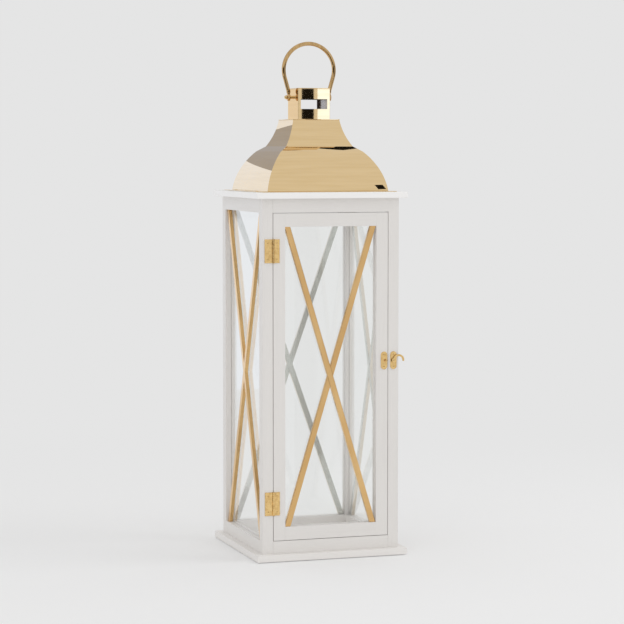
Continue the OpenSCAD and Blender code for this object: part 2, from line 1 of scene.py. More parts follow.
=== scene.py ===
"""Looks of a tall candle lantern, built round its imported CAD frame.

The case is white painted timber, the roof, chimney and handle are lacquered
gold-coloured metal, and the cross strips, hinges and latch are brass. All places
and sizes are in metres, in the CAD's own frame.
"""

import json
import logging
import math
from collections.abc import Callable, Iterable, Sequence
from dataclasses import dataclass, field
from enum import Enum

import bmesh
import bpy
from mathutils import Matrix, Vector

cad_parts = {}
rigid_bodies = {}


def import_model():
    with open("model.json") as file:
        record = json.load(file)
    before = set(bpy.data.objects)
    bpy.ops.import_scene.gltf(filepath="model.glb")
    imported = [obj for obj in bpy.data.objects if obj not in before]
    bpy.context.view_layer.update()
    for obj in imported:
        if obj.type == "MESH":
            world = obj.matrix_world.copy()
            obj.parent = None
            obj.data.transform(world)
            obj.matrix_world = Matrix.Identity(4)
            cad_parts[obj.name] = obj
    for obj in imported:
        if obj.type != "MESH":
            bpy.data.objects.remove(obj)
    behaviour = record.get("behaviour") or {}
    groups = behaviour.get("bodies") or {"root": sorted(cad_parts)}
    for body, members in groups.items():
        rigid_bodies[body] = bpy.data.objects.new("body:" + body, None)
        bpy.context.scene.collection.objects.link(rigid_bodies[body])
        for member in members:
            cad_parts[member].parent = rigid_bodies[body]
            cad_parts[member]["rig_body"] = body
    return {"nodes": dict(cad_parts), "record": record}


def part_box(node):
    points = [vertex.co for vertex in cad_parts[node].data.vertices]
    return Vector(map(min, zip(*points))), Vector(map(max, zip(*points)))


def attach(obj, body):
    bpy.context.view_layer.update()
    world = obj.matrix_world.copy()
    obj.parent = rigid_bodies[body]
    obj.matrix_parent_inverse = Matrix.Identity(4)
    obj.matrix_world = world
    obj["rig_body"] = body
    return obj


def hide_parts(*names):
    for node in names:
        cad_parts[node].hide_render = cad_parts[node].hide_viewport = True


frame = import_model()

LOG = logging.getLogger("lantern")
MM = 0.001
WELD = 1e-6
ON_BOX = 2e-5
FLAT_WITHIN = math.radians(0.4)
SHARP_FROM = math.radians(50)
Material, Mesh, Socket = bpy.types.Material, bpy.types.Mesh, bpy.types.NodeSocket
BMesh, BMEdge = bmesh.types.BMesh, bmesh.types.BMEdge
Colour = tuple[float, float, float]
Feed = float | Sequence[float] | Socket
EdgeTest = Callable[[BMEdge, Vector, Vector], bool]
SLOT_OF = {part["node"]: part["material_slot"] for part in frame["record"]["subparts"]}


class Grain(Enum):
    """Which way the timber's fibres run, as how far each axis is squeezed."""

    ALONG_X = (0.03, 1.0, 1.0)
    ALONG_Y = (1.0, 0.03, 1.0)
    ALONG_Z = (1.0, 1.0, 0.03)


# Node trees


class Bench:
    """One material and short ways to add and join its nodes."""

    def __init__(self, name: str) -> None:
        """Starts an empty material.

        Args:
            name: The material's name.
        """
        self.material = bpy.data.materials.new(name)
        self.material.use_nodes = True
        self.tree = self.material.node_tree
        self.tree.nodes.clear()
        self.place = self.add("ShaderNodeTexCoord").outputs["Object"]

    def add(self, kind: str, feeds: dict[str | int, Feed] | None = None, **settings: object) -> bpy.types.Node:
        """Adds a node.

        Args:
            kind: The node's type.
            feeds: A value or a socket for each named or numbered input.
            **settings: Plain properties of the node.

        Returns:
            The new node.
        """
        node = self.tree.nodes.new(kind)
        for key, value in settings.items():
            setattr(node, key, value)
        for key, value in (feeds or {}).items():
            self.feed(node.inputs[key], value)
        return node

    def feed(self, socket: Socket, value: Feed) -> None:
        """Links a socket into an input, or sets the input's own value."""
        if isinstance(value, Socket):
            self.tree.links.new(value, socket)
        else:
            socket.default_value = value

    def squeezed(self, squeeze: Sequence[float], turn: Sequence[float] = (0, 0, 0)) -> Socket:
        """Object coordinates turned and then squeezed along each axis."""
        feeds = {"Vector": self.place, "Rotation": turn}
        turned = self.add("ShaderNodeVectorRotate", feeds, rotation_type="EULER_XYZ")
        return self.add("ShaderNodeVectorMath", {0: turned.outputs[0], 1: squeeze}, operation="MULTIPLY").outputs[0]

    def noise(self, place: Socket, scale: float, detail: float = 2.0, rough: float = 0.5) -> Socket:
        """A noise value, from 0 to 1, at a number of features a metre."""
        feeds = {"Vector": place, "Scale": scale, "Detail": detail, "Roughness": rough}
        return self.add("ShaderNodeTexNoise", feeds).outputs["Fac"]

    def span(self, value: Socket, start: float, end: float, low: float, high: float) -> Socket:
        """Maps a value from start..end to low..high, held at the ends."""
        feeds = {"Value": value, "From Min": start, "From Max": end, "To Min": low, "To Max": high}
        return self.add("ShaderNodeMapRange", feeds).outputs["Result"]

    def blend(self, share: Feed, first: Feed, second: Feed) -> Socket:
        """Mixes two colours.

        Args:
            share: How much of the second colour shows, from 0 to 1.
            first: Colour at share 0.
            second: Colour at share 1.

        Returns:
            The mixed colour.
        """
        first, second = ((*c, 1.0) if isinstance(c, tuple) else c for c in (first, second))
        node = self.add("ShaderNodeMix", data_type="RGBA")
        for key, value in ((0, share), (6, first), (7, second)):
            self.feed(node.inputs[key], value)
        return node.outputs[2]

    def bump(self, height: Socket, depth: float, below: Socket | None = None) -> Socket:
        """Turns a height into a surface normal.

        Args:
            height: Height, from 0 to 1.
            depth: What a height of 1 stands for, in metres.
            below: The normal that it lies over, if not the plain surface.

        Returns:
            The normal.
        """
        feeds: dict[str | int, Feed] = {"Height": height, "Distance": depth, "Strength": 1.0}
        if below is not None:
            feeds["Normal"] = below
        return self.add("ShaderNodeBump", feeds).outputs["Normal"]

    def finish(self, feeds: dict[str | int, Feed]) -> Material:
        """Joins a Principled shader to the output.

        Args:
            feeds: A value or a socket for each of the shader's inputs.

        Returns:
            The finished material.
        """
        shader = self.add("ShaderNodeBsdfPrincipled", feeds)
        self.add("ShaderNodeOutputMaterial", {"Surface": shader.outputs[0]})
        return self.material


class Tree:
    """One Geometry Nodes tree with named inputs, applied to a base mesh."""

    def __init__(self, name: str, inputs: dict[str, tuple[str, object]]) -> None:
        """Starts a tree with its interface.

        Args:
            name: The tree's name.
            inputs: Socket type and value for each named input.
        """
        self.group = bpy.data.node_groups.new(name, "GeometryNodeTree")
        self.group.interface.new_socket("Geometry", in_out="INPUT", socket_type="NodeSocketGeometry")
        self.group.interface.new_socket("Geometry", in_out="OUTPUT", socket_type="NodeSocketGeometry")
        self.values = {}
        for label, (kind, value) in inputs.items():
            socket = self.group.interface.new_socket(label, in_out="INPUT", socket_type=kind)
            self.values[socket.identifier] = value
        self.source = self.group.nodes.new("NodeGroupInput").outputs

    def add(self, kind: str, feeds: dict[str | int, object] | None = None, **settings: object) -> bpy.types.Node:
        """Adds a node.

        Args:
            kind: The node's type.
            feeds: A value, a socket or a list of sockets for each input.
            **settings: Plain properties of the node.

        Returns:
            The new node.
        """
        node = self.group.nodes.new(kind)
        for key, value in settings.items():
            setattr(node, key, value)
        for key, value in (feeds or {}).items():
            self.feed(node.inputs[key], value)
        return node

    def feed(self, socket: Socket, value: object) -> None:
        """Links sockets into an input, or sets the input's own value."""
        if isinstance(value, (list, Socket)):
            for source in value if isinstance(value, list) else [value]:
                self.group.links.new(source, socket)
        else:
            socket.default_value = value

    def maths(self, operation: str, first: object, second: object = 0.0) -> Socket:
        """A Math node's result."""
        return self.add("ShaderNodeMath", {0: first, 1: second}, operation=operation).outputs[0]

    def vector(self, x: object = 0.0, y: object = 0.0, z: object = 0.0) -> Socket:
        """A vector from three values."""
        return self.add("ShaderNodeCombineXYZ", {0: x, 1: y, 2: z}).outputs[0]

    def close(self, geometry: Socket) -> None:
        """Joins the last geometry to the output, realized, welded and with its material set.

        Args:
            geometry: The geometry that the tree ends with.
        """
        solid = self.add("GeometryNodeRealizeInstances", {"Geometry": geometry}).outputs[0]
        joined = self.add("GeometryNodeMergeByDistance", {"Geometry": solid, "Distance": WELD}).outputs[0]
        coated = self.add("GeometryNodeSetMaterial", {"Geometry": joined, "Material": self.source["Finish"]})
        self.add("NodeGroupOutput", {0: coated.outputs[0]})

    def grow(self, base: Mesh) -> Mesh:
        """Applies the tree to a base mesh.

        Args:
            base: The mesh that the tree starts from.

        Returns:
            A plain mesh with no modifier.
        """
        carrier = bpy.data.objects.new("carrier", base)
        bpy.context.scene.collection.objects.link(carrier)
        modifier = carrier.modifiers.new("tree", "NODES")
        modifier.node_group = self.group
        for identifier, value in self.values.items():
            modifier[identifier] = value
        bpy.context.view_layer.update()
        graph = bpy.context.evaluated_depsgraph_get()
        grown = bpy.data.meshes.new_from_object(carrier.evaluated_get(graph))
        bpy.data.objects.remove(carrier)
        return grown


# Finishes


@dataclass(frozen=True)
class PaintedTimber:
    """Satin white paint over timber, with the fibres and brush strokes just showing."""

    grain: Grain
    light: Colour = (0.81, 0.785, 0.758)
    shade: Colour = (0.775, 0.75, 0.723)
    fibre: float = 1400.0
    fibre_depth: float = 0.00009
    stroke: float = 300.0
    stroke_depth: float = 0.00012

    def make(self) -> Material:
        """Builds the material."""
        bench = Bench(f"white_timber_{self.grain.name.lower()}")
        along = bench.squeezed(self.grain.value)
        fibres = bench.noise(along, self.fibre, 4.0, 0.6)
        strokes = bench.noise(along, self.stroke, 3.0)
        clouds = bench.noise(bench.place, 11.0, 3.0)
        tone = bench.blend(bench.span(fibres, 0.3, 0.7, 0.0, 1.0), self.light, self.shade)
        warm = bench.blend(bench.span(clouds, 0.35, 0.7, 0.0, 0.6), tone, self.light)
        streak = bench.blend(bench.span(strokes, 0.56, 0.7, 0.0, 0.5), warm, self.shade)
        skin = bench.bump(strokes, self.stroke_depth)
        return bench.finish({
            "Base Color": streak,
            "Roughness": bench.span(strokes, 0.3, 0.7, 0.34, 0.5),
            "Normal": bench.bump(fibres, self.fibre_depth, skin),
            "Specular IOR Level": 0.35,
        })


@dataclass(frozen=True)
class PressedFelt:
    """Dark grey felt of short matted hairs."""

    dark: Colour = (0.035, 0.035, 0.037)
    pale: Colour = (0.09, 0.09, 0.095)

    def make(self) -> Material:
        """Builds the material."""
        bench = Bench("felt")
        hairs = bench.noise(bench.place, 2400.0, 6.0, 0.75)
        return bench.finish({
            "Base Color": bench.blend(hairs, self.dark, self.pale),
            "Roughness": 0.95,
            "Sheen Weight": 0.4,
            "Normal": bench.bump(hairs, 0.0004),
        })


@dataclass(frozen=True)
class ClearGlass:
    """Drawn sheet glass: clear, faintly green, not quite flat."""

    tint: Colour = (0.988, 0.996, 0.99)

    def make(self) -> Material:
        """Builds the material."""
        bench = Bench("clear_glass")
        draw = bench.noise(bench.squeezed((1.0, 1.0, 0.4)), 14.0, 1.0)
        return bench.finish({
            "Base Color": bench.blend(draw, self.tint, (0.993, 0.998, 0.994)),
            "Roughness": 0.0,
            "IOR": 1.5,
            "Transmission Weight": 1.0,
            "Normal": bench.bump(draw, 0.00005),
        })


@dataclass(frozen=True)
class PolishedSheet:
    """Mirror-polished gold-coloured sheet under clear lacquer, rolled in level streaks."""

    name: str = "gold_sheet"
    gold: Colour = (0.87, 0.645, 0.345)
    deep: Colour = (0.8, 0.575, 0.285)
    waves: float = 14.0
    wave_depth: float = 0.00008
    streaks: float = 240.0
    streak_depth: float = 0.0000022
    squeeze: tuple[float, float, float] = (0.05, 0.05, 1.0)
    rough: tuple[float, float] = (0.014, 0.024)
    inside: Colour | None = None

    def make(self) -> Material:
        """Builds the material."""
        bench = Bench(self.name)
        rolled = bench.noise(bench.squeezed(self.squeeze), self.streaks, 5.0, 0.6)
        sheet = bench.noise(bench.squeezed((0.5, 0.5, 1.0)), self.waves, 1.0)
        haze = bench.noise(bench.place, 90.0, 4.0)
        skin = bench.bump(sheet, self.wave_depth)
        tone = bench.blend(bench.span(rolled, 0.35, 0.75, 0.0, 1.0), self.gold, self.deep)
        rough = bench.span(haze, 0.3, 0.75, *self.rough)
        if self.inside is not None:
            back = self.back_of(bench)
            tone = bench.blend(back, tone, self.inside)
            rough = bench.add("ShaderNodeMath", {0: back, 1: 0.35, 2: rough}, operation="MULTIPLY_ADD").outputs[0]
        return bench.finish({
            "Base Color": tone,
            "Metallic": 1.0,
            "Roughness": rough,
            "Coat Weight": 0.75,
            "Coat Roughness": 0.02,
            "Normal": bench.bump(rolled, self.streak_depth, skin),
        })

    @staticmethod
    def back_of(bench: Bench) -> Socket:
        """1 on the faces that look in towards the upright axis, 0 on the rest."""
        level = bench.add("ShaderNodeVectorMath", {0: bench.place, 1: (1.0, 1.0, 0.0)}, operation="MULTIPLY")
        out = bench.add("ShaderNodeVectorMath", {0: level.outputs[0]}, operation="NORMALIZE")
        normal = bench.add("ShaderNodeTexCoord").outputs["Normal"]
        facing = bench.add("ShaderNodeVectorMath", {0: out.outputs[0], 1: normal}, operation="DOT_PRODUCT")
        return bench.span(facing.outputs["Value"], -0.05, -0.15, 0.0, 1.0)


@dataclass(frozen=True)
class DrawnBrass:
    """Bright brass drawn along its length, with a plain steel back where asked."""

    name: str
    brass: Colour
    deep: Colour
    lean: tuple[float, float, float] = (0.0, 0.0, 0.0)
    inward: tuple[float, float, float] | None = None
    steel: Colour = (0.64, 0.64, 0.6)
    edge: tuple[float, float] = (-0.6, 0.25)
    rough: tuple[float, float] = (0.1, 0.2)
    line_depth: float = 0.00002

    def make(self) -> Material:
        """Builds the material."""
        bench = Bench(self.name)
        drawn = bench.squeezed((1.0, 1.0, 0.02), self.lean)
        lines = bench.noise(drawn, 1900.0, 4.0, 0.6)
        bends = bench.noise(bench.squeezed((1.0, 1.0, 0.5), self.lean), 34.0, 2.0)
        tone = bench.blend(bench.span(bends, 0.35, 0.7, 0.0, 1.0), self.brass, self.deep)
        rough = bench.span(lines, 0.3, 0.7, *self.rough)
        if self.inward is not None:
            normal = bench.add("ShaderNodeTexCoord").outputs["Normal"]
            facing = bench.add("ShaderNodeVectorMath", {0: normal, 1: self.inward}, operation="DOT_PRODUCT")
            back = bench.span(facing.outputs["Value"], *self.edge, 0.0, 1.0)
            tone = bench.blend(back, tone, self.steel)
        return bench.finish({
            "Base Color": tone,
            "Metallic": 1.0,
            "Roughness": rough,
            "Coat Weight": 0.4,
            "Coat Roughness": 0.06,
            "Normal": bench.bump(lines, self.line_depth, bench.bump(bends, 0.0002)),
        })


@dataclass(frozen=True)
class StampedBrass:
    """Small stamped hardware: satin brass, faintly dimpled and darker where it tarnishes."""

    name: str = "small_brass"
    brass: Colour = (0.9, 0.63, 0.28)
    tarnish: Colour = (0.66, 0.41, 0.15)

    def make(self) -> Material:
        """Builds the material."""
        bench = Bench(self.name)
        dimples = bench.noise(bench.place, 520.0, 3.0)
        spots = bench.noise(bench.place, 210.0, 4.0, 0.65)
        return bench.finish({
            "Base Color": bench.blend(bench.span(spots, 0.42, 0.72, 0.0, 0.85), self.brass, self.tarnish),
            "Metallic": 1.0,
            "Roughness": bench.span(dimples, 0.3, 0.7, 0.12, 0.24),
            "Normal": bench.bump(dimples, 0.00007),
        })


@dataclass(frozen=True)
class ZincSteel:
    """Zinc-plated steel with a fine spangle."""

    bright: Colour = (0.62, 0.63, 0.62)
    dull: Colour = (0.42, 0.43, 0.43)

    def make(self) -> Material:
        """Builds the material."""
        bench = Bench("screw_steel")
        spangle = bench.noise(bench.place, 900.0, 3.0)
        return bench.finish({
            "Base Color": bench.blend(spangle, self.dull, self.bright),
            "Metallic": 1.0,
            "Roughness": bench.span(spangle, 0.3, 0.7, 0.28, 0.42),
            "Normal": bench.bump(spangle, 0.00005),
        })


# Meshes


def merged(node: str) -> BMesh:
    """A welded copy of a CAD node's mesh, its flat faces made whole again."""
    work = bmesh.new()
    work.from_mesh(frame["nodes"][node].data)
    bmesh.ops.remove_doubles(work, verts=work.verts[:], dist=WELD)
    bmesh.ops.dissolve_limit(work, angle_limit=FLAT_WITHIN, verts=work.verts[:], edges=work.edges[:])
    return work


def solids_of(node: str) -> list[tuple[Vector, Vector]]:
    """The box of each separate solid in a CAD node.

    Args:
        node: The node's name.

    Returns:
        Lowest and highest corner of each solid, in a steady order.
    """
    work = bmesh.new()
    work.from_mesh(frame["nodes"][node].data)
    bmesh.ops.remove_doubles(work, verts=work.verts[:], dist=WELD)
    left, boxes = set(work.verts), []
    while left:
        queue = [left.pop()]
        found = list(queue)
        while queue:
            for edge in queue.pop().link_edges:
                for vert in edge.verts:
                    if vert in left:
                        left.remove(vert)
                        queue.append(vert)
                        found.append(vert)
        low = Vector(min(v.co[i] for v in found) for i in range(3))
        high = Vector(max(v.co[i] for v in found) for i in range(3))
        boxes.append((low, high))
    work.free()
    return sorted(boxes, key=lambda box: tuple(round(c, 5) for c in box[0]))


def box_edge(axis: int | None = None) -> EdgeTest:
    """Makes a test for edges that lie on the edges of the piece's own box.

    Args:
        axis: The only axis that the edges may run along, or None for all three.

    Returns:
        The test.
    """

    def test(edge: BMEdge, low: Vector, high: Vector) -> bool:
        """True if the edge lies on a box edge."""
        ends = [v.co for v in edge.verts]
        held = [i for i in range(3) if any(all(abs(p[i] - side[i]) < ON_BOX for p in ends) for side in (low, high))]
        return len(held) == 2 and (axis is None or axis not in held)

    return test


def sharp_edge(shortest: float) -> EdgeTest:
    """Makes a test for crisp outward edges.

    Args:
        shortest: Length below which an edge is left as it is.

    Returns:
        The test.
    """

    def test(edge: BMEdge, low: Vector, high: Vector) -> bool:
        """True if the edge is long, crisp and outward."""
        return (
            len(edge.link_faces) == 2
            and edge.calc_length() >= shortest
            and edge.calc_face_angle_signed(0.0) > SHARP_FROM
        )

    return test


def ease(work: BMesh, width: float, test: EdgeTest, steps: int = 2) -> None:
    """Rounds the edges that pass a test.

    Args:
        work: The mesh to change.
        width: How far the rounding reaches from the edge.
        test: Which edges are rounded.
        steps: Facets across the rounding.
    """
    low = Vector(min(v.co[i] for v in work.verts) for i in range(3))
    high = Vector(max(v.co[i] for v in work.verts) for i in range(3))
    chosen = [e for e in work.edges if test(e, low, high)]
    bmesh.ops.bevel(
        work, geom=chosen, offset=width, offset_type="OFFSET", segments=steps, profile=0.5,
        affect="EDGES", clamp_overlap=True,
    )


def shade(work: BMesh, crisp: float = 20.0) -> None:
    """Shades a mesh smooth and leaves its sharper edges crisp.

    Args:
        work: The mesh to change.
        crisp: Angle in degrees from which an edge stays crisp.
    """
    for face in work.faces:
        face.smooth = True
    for edge in work.edges:
        edge.smooth = len(edge.link_faces) == 2 and edge.calc_face_angle(0.0) < math.radians(crisp)


def settle(work: BMesh, name: str) -> Mesh:
    """Turns a finished work mesh into a Blender mesh.

    Args:
        work: The mesh, which is used up.
        name: The new mesh's name.

    Returns:
        The Blender mesh.
    """
    mesh = bpy.data.meshes.new(name)
    work.to_mesh(mesh)
    work.free()
    return mesh


def stand_in(name: str, mesh: Mesh, finish: Material, *nodes: str) -> bpy.types.Object:
    """Makes a piece that stands for CAD nodes of one body.

    Args:
        name: The piece's name.
        mesh: Its mesh, in place.
        finish: Its material.
        *nodes: The CAD nodes it replaces.

    Returns:
        The piece, riding on those nodes' body.
    """
    piece = bpy.data.objects.new(name, mesh)
    bpy.context.scene.collection.objects.link(piece)
    mesh.materials.clear()
    mesh.materials.append(finish)
    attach(piece, frame["nodes"][nodes[0]]["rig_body"])
    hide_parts(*nodes)
    LOG.info("%s: %d faces, stands for %s", name, len(mesh.polygons), ", ".join(nodes))
    return piece


def dress(node: str, finish: Material) -> None:
    """Gives a CAD node that stays in view its material.

    Args:
        node: The node's name.
        finish: Its material.
    """
    piece = frame["nodes"][node]
    piece.data.materials.clear()
    piece.data.materials.append(finish)
    LOG.info("%s: shown as built, %d faces", node, len(piece.data.polygons))


# Timber


@dataclass
class Timberwork:
    """The painted boards, posts and rails of the case and of the door."""

    outer_round: float = 0.0009
    inner_round: float = 0.00025
    post_share: float = 0.6
    round_steps: int = 3
    crisp: float = 12.0
    finishes: dict[Grain, Material] = field(default_factory=dict)
    board_finishes_with_painted_light: dict[str, Material] = field(default_factory=dict)

    def build(self) -> None:
        """Builds and dresses every timber piece."""
        self.finishes = {grain: PaintedTimber(grain).make() for grain in Grain}
        # Both boards are painted lighter than the posts and rails, the top board most: painted light on boards that
        # carry the same white paint.
        self.board_finishes_with_painted_light = {
            "top_board": PaintedTimber(Grain.ALONG_X, light=(0.95, 0.935, 0.92), shade=(0.925, 0.91, 0.895)).make(),
            "base_board": PaintedTimber(Grain.ALONG_X, light=(0.86, 0.835, 0.808), shade=(0.825, 0.8, 0.773)).make(),
        }
        for node, slot in SLOT_OF.items():
            if slot == "white_timber":
                self.piece(node)

    @staticmethod
    def grain_of(node: str) -> Grain:
        """Finds which way a piece's grain runs.

        Args:
            node: The piece's CAD node.

        Returns:
            The grain along its longest side, and along X on the square boards.
        """
        low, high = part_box(node)
        sides = [high[i] - low[i] for i in range(3)]
        longest = max(range(3), key=lambda i: round(sides[i], 4))
        return (Grain.ALONG_X, Grain.ALONG_Y, Grain.ALONG_Z)[longest]

    def piece(self, node: str) -> None:
        """Makes one piece with its exposed edges rounded.

        Args:
            node: The piece's CAD node.
        """
        grain = self.grain_of(node)
        work = merged(node)
        axis = None if node.endswith("board") else list(Grain).index(grain)
        width = self.outer_round if axis is None else self.width_for(node)
        ease(work, width, box_edge(axis), self.round_steps)
        shade(work, self.crisp)
        # The boards take their lighter copies of the paint here: painted light.
        finish = self.board_finishes_with_painted_light.get(node, self.finishes[grain])
        stand_in(f"painted_{node}", settle(work, node), finish, node)

    def width_for(self, node: str) -> float:
        """Posts are rounded more than the rails that butt against them."""
        return self.outer_round * self.post_share if node.startswith("post") else self.inner_round


# Glass and strips


@dataclass
class Glazing:
    """The four panes and the brass strips crossed over each of them."""

    strip_round: float = 0.0003
    strip_width: float = 0.0078
    shortest_edge: float = 0.012
    crisp: float = 12.0
    near_edge: tuple[float, float] = (0.3, 0.6)
    far_edge: tuple[float, float] = (-0.6, 0.25)
    brass: Colour = (0.82, 0.54, 0.24)
    deep: Colour = (0.7, 0.43, 0.17)

    def build(self) -> None:
        """Dresses the panes and builds the strips."""
        glass = ClearGlass().make()
        for node, slot in SLOT_OF.items():
            if slot == "clear_glass":
                dress(node, glass)
                frame["nodes"][node].visible_shadow = False
                frame["nodes"][node].visible_diffuse = False
            if slot == "strip_brass":
                self.strip(node)

    def strip(self, node: str) -> None:
        """Makes one strip with its edges rounded and its lines running along it.

        Args:
            node: The strip's CAD node.
        """
        low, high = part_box(node)
        size, middle = high - low, (high + low) / 2
        across = 0 if size.x > size.y else 1
        depth = 1 - across
        lean = math.atan2(size[across] - self.strip_width, size.z)
        hand = self.hand_of(node, across)
        turn = [0.0, 0.0, 0.0]
        turn[depth] = hand * lean * (-1 if depth == 1 else 1)
        inward = [0.0, 0.0, 0.0]
        inward[depth] = -math.copysign(1.0, middle[depth])
        edge = self.near_edge if middle[depth] < 0 else self.far_edge
        finish = DrawnBrass(f"brass_{node}", self.brass, self.deep, tuple(turn), tuple(inward), edge=edge).make()
        work = merged(node)
        ease(work, self.strip_round, sharp_edge(self.shortest_edge))
        shade(work, self.crisp)
        stand_in(f"brass_{node}", settle(work, node), finish, node)

    @staticmethod
    def hand_of(node: str, across: int) -> int:
        """Finds which way a strip leans.

        Args:
            node: The strip's CAD node.
            across: The axis of the strip's width.

        Returns:
            1 where its top lies towards the positive end of that axis, else -1.
        """
        low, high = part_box(node)
        points = [v.co for v in frame["nodes"][node].data.vertices]
        top = [p[across] for p in points if high.z - p.z < MM]
        return 1 if sum(top) / len(top) > (low[across] + high[across]) / 2 else -1


# Roof


@dataclass
class Roof:
    """The flange, the mitred ogee bell with its flat shoulder, and the cap plate."""

    foot_w: float = 0.1735
    lower_h: float = 0.054
    lower_r: float = 0.093
    shoulder_low_w: float = 0.1182
    shoulder_h: float = 0.007
    shoulder_top_w: float = 0.0966
    upper_r: float = 0.094
    top_w: float = 0.0674
    sheet: float = 0.001
    arc_steps: int = 56
    corner_round: float = 0.0006
    corner_from: float = math.radians(8)
    plate_round: float = 0.0003
    crisp: float = 4.0

    def build(self, gold: Material) -> None:
        """Builds the roof.

        Args:
            gold: The finish of every piece.
        """
        self.bell(gold)
        for node in ("roof_flange", "roof_cap_plate"):
            work = merged(node)
            ease(work, self.plate_round, box_edge())
            shade(work)
            stand_in(f"gold_{node}", settle(work, node), gold, node)

    @staticmethod
    def centre(a: Vector, b: Vector, r: float) -> Vector:
        """Finds the centre of a circle through two points.

        Args:
            a: First point.
            b: Second point.
            r: The circle's radius.

        Returns:
            The centre on the left of the way from a to b.
        """
        along = b - a
        out = math.sqrt(r * r - along.length_squared / 4)
        return (a + b) / 2 + out * Vector((-along.y, along.x)) / along.length

    def arc(self, centre: Vector, r: float, start: float, end: float) -> list[Vector]:
        """Points on an arc between two angles."""
        turns = (start + (end - start) * i / self.arc_steps for i in range(self.arc_steps + 1))
        return [centre + r * Vector((math.cos(t), math.sin(t))) for t in turns]

    def side(self, inset: float) -> list[Vector]:
        """Draws half the outline of the bell.

        Args:
            inset: How far inside the outer face the outline lies.

        Returns:
            Points from foot to top, as half width and height.
        """
        foot_z, top_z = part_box("roof_bell")[0].z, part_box("roof_bell")[1].z
        foot = Vector((self.foot_w / 2, foot_z))
        low = Vector((self.shoulder_low_w / 2, foot_z + self.lower_h))
        high = Vector((self.shoulder_top_w / 2, low.y + self.shoulder_h))
        top = Vector((self.top_w / 2, top_z))
        under, over = self.centre(foot, low, self.lower_r), self.centre(top, high, self.upper_r)

        def angle(point: Vector, about: Vector) -> float:
            """Angle of a point about a centre."""
            return math.atan2(point.y - about.y, point.x - about.x)

        full = 2 * math.pi
        lower = self.arc(under, self.lower_r - inset, angle(foot, under), angle(low, under))
        upper = self.arc(over, self.upper_r + inset, angle(high, over) % full, angle(top, over) % full)
        lower[0].y, upper[-1].y = foot_z, top_z
        return lower + upper

    def bell(self, gold: Material) -> None:
        """Sweeps the sheet's outline between mitres on four sides.

        Args:
            gold: The bell's finish.
        """
        loop = self.side(0.0) + self.side(self.sheet)[::-1]
        outline = bpy.data.meshes.new("outline")
        count = len(loop)
        outline.from_pydata([(p.x, 0.0, p.y) for p in loop], [(i, (i + 1) % count) for i in range(count)], [])
        tree = Tree("mitred_sweep", {
            "Sides": ("NodeSocketInt", 4),
            "Finish": ("NodeSocketMaterial", gold),
        })
        drawn = tree.add("GeometryNodeExtrudeMesh", {
            "Mesh": tree.source["Geometry"], "Offset": tree.vector(y=2.0), "Offset Scale": 1.0,
        }, mode="EDGES").outputs["Mesh"]
        spot = tree.add("ShaderNodeSeparateXYZ", {0: tree.add("GeometryNodeInputPosition").outputs[0]}).outputs
        spread = tree.maths("MULTIPLY", spot["X"], tree.maths("SUBTRACT", spot["Y"], 1.0))
        mitred = tree.add("GeometryNodeSetPosition", {
            "Geometry": drawn, "Position": tree.vector(spot["X"], spread, spot["Z"]),
        }).outputs[0]
        sides = tree.add("GeometryNodePoints", {"Count": tree.source["Sides"]}).outputs[0]
        share = tree.maths("DIVIDE", 2 * math.pi, tree.source["Sides"])
        turn = tree.maths("MULTIPLY", tree.add("GeometryNodeInputIndex").outputs[0], share)
        ring = tree.add("GeometryNodeInstanceOnPoints", {
            "Points": sides, "Instance": mitred, "Rotation": tree.vector(z=turn),
        }).outputs[0]
        tree.close(ring)
        work = bmesh.new()
        work.from_mesh(tree.grow(outline))
        bmesh.ops.recalc_face_normals(work, faces=work.faces[:])
        chosen = [e for e in work.edges if e.calc_face_angle(0.0) > self.corner_from]
        bmesh.ops.bevel(
            work, geom=chosen, offset=self.corner_round / 2, offset_type="OFFSET", segments=2, profile=0.5,
            affect="EDGES",
        )
        shade(work, self.crisp)
        stand_in("gold_roof_bell", settle(work, "bell"), gold, "roof_bell")


@dataclass
class Chimney:
    """The slotted square chimney and its lid."""

    edge_round: float = 0.0003
    crisp: float = 12.0

    def build(self, gold: Material) -> None:
        """Builds the tube and the lid.

        Args:
            gold: The finish of both.
        """
        for node in ("chimney_tube", "chimney_lid"):
            work = merged(node)
            ease(work, self.edge_round, box_edge())
            shade(work, self.crisp)
            stand_in(f"gold_{node}", settle(work, node), gold, node)


# Handle


